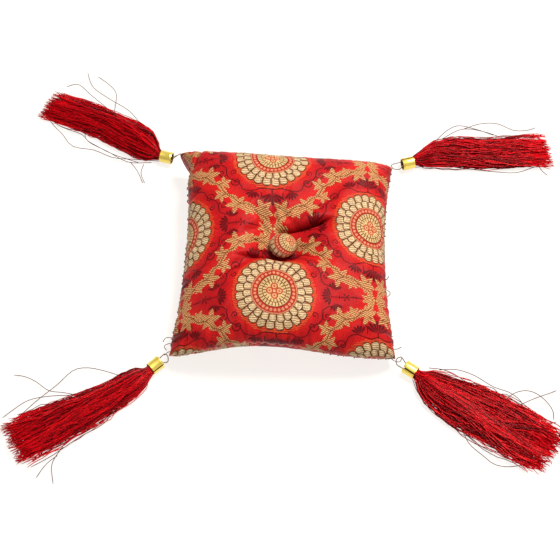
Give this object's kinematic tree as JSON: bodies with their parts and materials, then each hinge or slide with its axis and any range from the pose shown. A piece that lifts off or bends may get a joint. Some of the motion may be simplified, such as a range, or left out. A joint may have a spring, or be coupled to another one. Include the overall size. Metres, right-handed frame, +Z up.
{
  "type": "silk cushion",
  "caption": "Small square brocade cushion, tufted with a covered button, with a tassel on a thread loop at each corner.",
  "frame": {"origin": "middle of the flat underside of the cushion, on the surface that it and its tassels lie on", "axes": "+X to the right and +Y away from the near edge, as the picture shows the cushion; +Z up, out of the buttoned face"},
  "size_m": [0.2723, 0.219, 0.0353],
  "materials": {
    "brocade": "woven silk satin with gold and dark figure, soft sheen",
    "gilt_cap": "bright gilt, rolled from thin sheet",
    "tassel_thread": "glossy viscose thread",
    "loop_thread": "thin twisted thread"
  },
  "bodies": {
    "root": {"cushion": "brocade", "covered_button": "brocade", "cap_near_left": "gilt_cap", "skirt_near_left": "tassel_thread", "loop_near_left": "loop_thread", "cap_near_right": "gilt_cap", "skirt_near_right": "tassel_thread", "loop_near_right": "loop_thread", "cap_far_right": "gilt_cap", "skirt_far_right": "tassel_thread", "loop_far_right": "loop_thread", "cap_far_left": "gilt_cap", "skirt_far_left": "tassel_thread", "loop_far_left": "loop_thread"}
  },
  "joints": []
}
